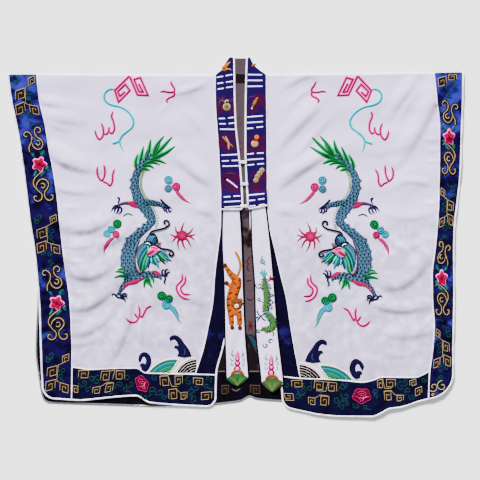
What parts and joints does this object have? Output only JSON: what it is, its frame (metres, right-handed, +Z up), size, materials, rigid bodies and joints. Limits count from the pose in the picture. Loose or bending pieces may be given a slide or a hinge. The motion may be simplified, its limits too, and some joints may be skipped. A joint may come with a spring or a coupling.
{
  "type": "ritual robe",
  "caption": "Wide white satin ritual robe laid flat: square cut, blue figured bands, embroidered navy collar, two hanging streamers and mirrored embroidery on the fronts.",
  "frame": {"origin": "centre of the robe's bounding box in plan, on the surface that it lies on", "axes": "+X across the robe to the viewer's right, +Y towards the shoulders and collar, +Z up off the surface"},
  "size_m": [1.827, 1.4424, 0.0151],
  "materials": {
    "white_satin": "satin",
    "blue_figured_satin": "satin with woven gold figures",
    "navy_satin": "plain satin",
    "collar_navy": "embroidered satin",
    "lining_satin": "dull satin",
    "white_binding": "bias strip",
    "streamer_satin": "embroidered satin",
    "black_binding": "bias strip"
  },
  "bodies": {
    "root": {"front_left": "white_satin", "front_right": "white_satin", "back": "white_satin", "side_band_left": "blue_figured_satin", "side_band_right": "blue_figured_satin", "hem_band_left": "blue_figured_satin", "hem_band_right": "blue_figured_satin", "back_side_band_left": "blue_figured_satin", "back_side_band_right": "blue_figured_satin", "back_hem_band": "blue_figured_satin", "edge_band_left": "navy_satin", "edge_band_right": "navy_satin", "collar_left": "collar_navy", "collar_right": "collar_navy", "collar_back": "lining_satin", "side_piping_left": "white_binding", "side_piping_right": "white_binding", "hem_piping_left": "white_binding", "hem_piping_right": "white_binding", "front_piping_left": "white_binding", "front_piping_right": "white_binding", "back_side_piping_left": "white_binding", "back_side_piping_right": "white_binding", "back_hem_piping": "white_binding", "front_binding_left": "white_binding", "front_binding_right": "white_binding", "collar_binding_left": "white_binding", "collar_binding_right": "white_binding", "back_binding": "white_binding", "streamer_left": "streamer_satin", "streamer_right": "streamer_satin", "streamer_binding_left": "black_binding", "streamer_binding_right": "black_binding", "closure_upper": "white_binding", "closure_middle": "white_binding", "closure_lower": "white_binding"}
  },
  "joints": []
}
